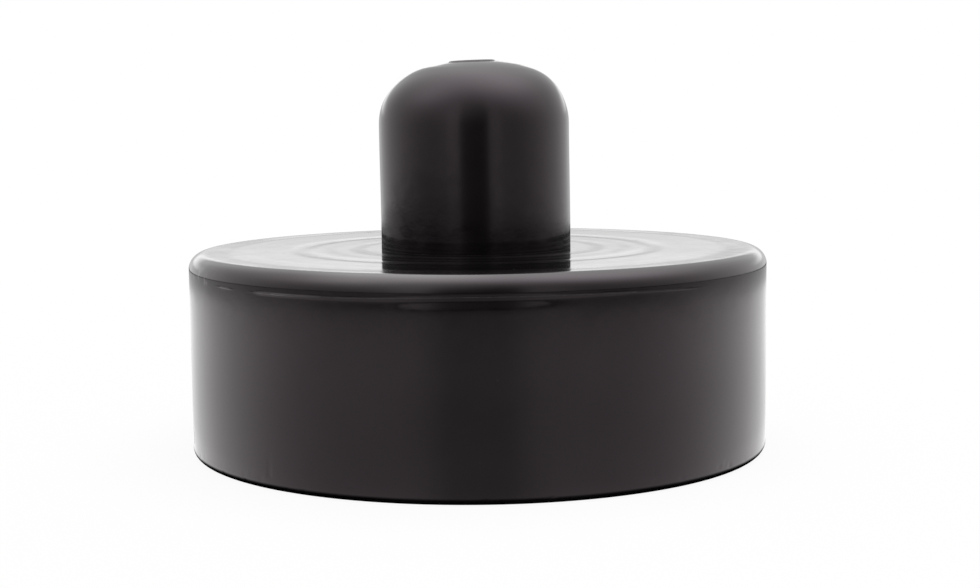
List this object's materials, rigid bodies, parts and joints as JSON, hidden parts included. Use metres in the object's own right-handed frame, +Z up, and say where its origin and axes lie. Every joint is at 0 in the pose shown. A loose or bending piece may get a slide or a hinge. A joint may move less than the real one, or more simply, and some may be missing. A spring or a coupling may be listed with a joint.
{
  "type": "jack pad adapter",
  "caption": "Round rubber pad with a domed peg that locates in a vehicle's jacking hole and spreads the load of the jack's saddle.",
  "frame": {"origin": "centre of the underside, on the surface that the pad stands on", "axes": "+Z up along the peg's axis; the pad is turned about +Z, so X and Y are alike"},
  "size_m": [0.0804, 0.0802, 0.0539],
  "materials": {
    "black_rubber": "smooth moulded black rubber with a satin sheen"
  },
  "bodies": {
    "root": {"jack_pad": "black_rubber"}
  },
  "joints": []
}
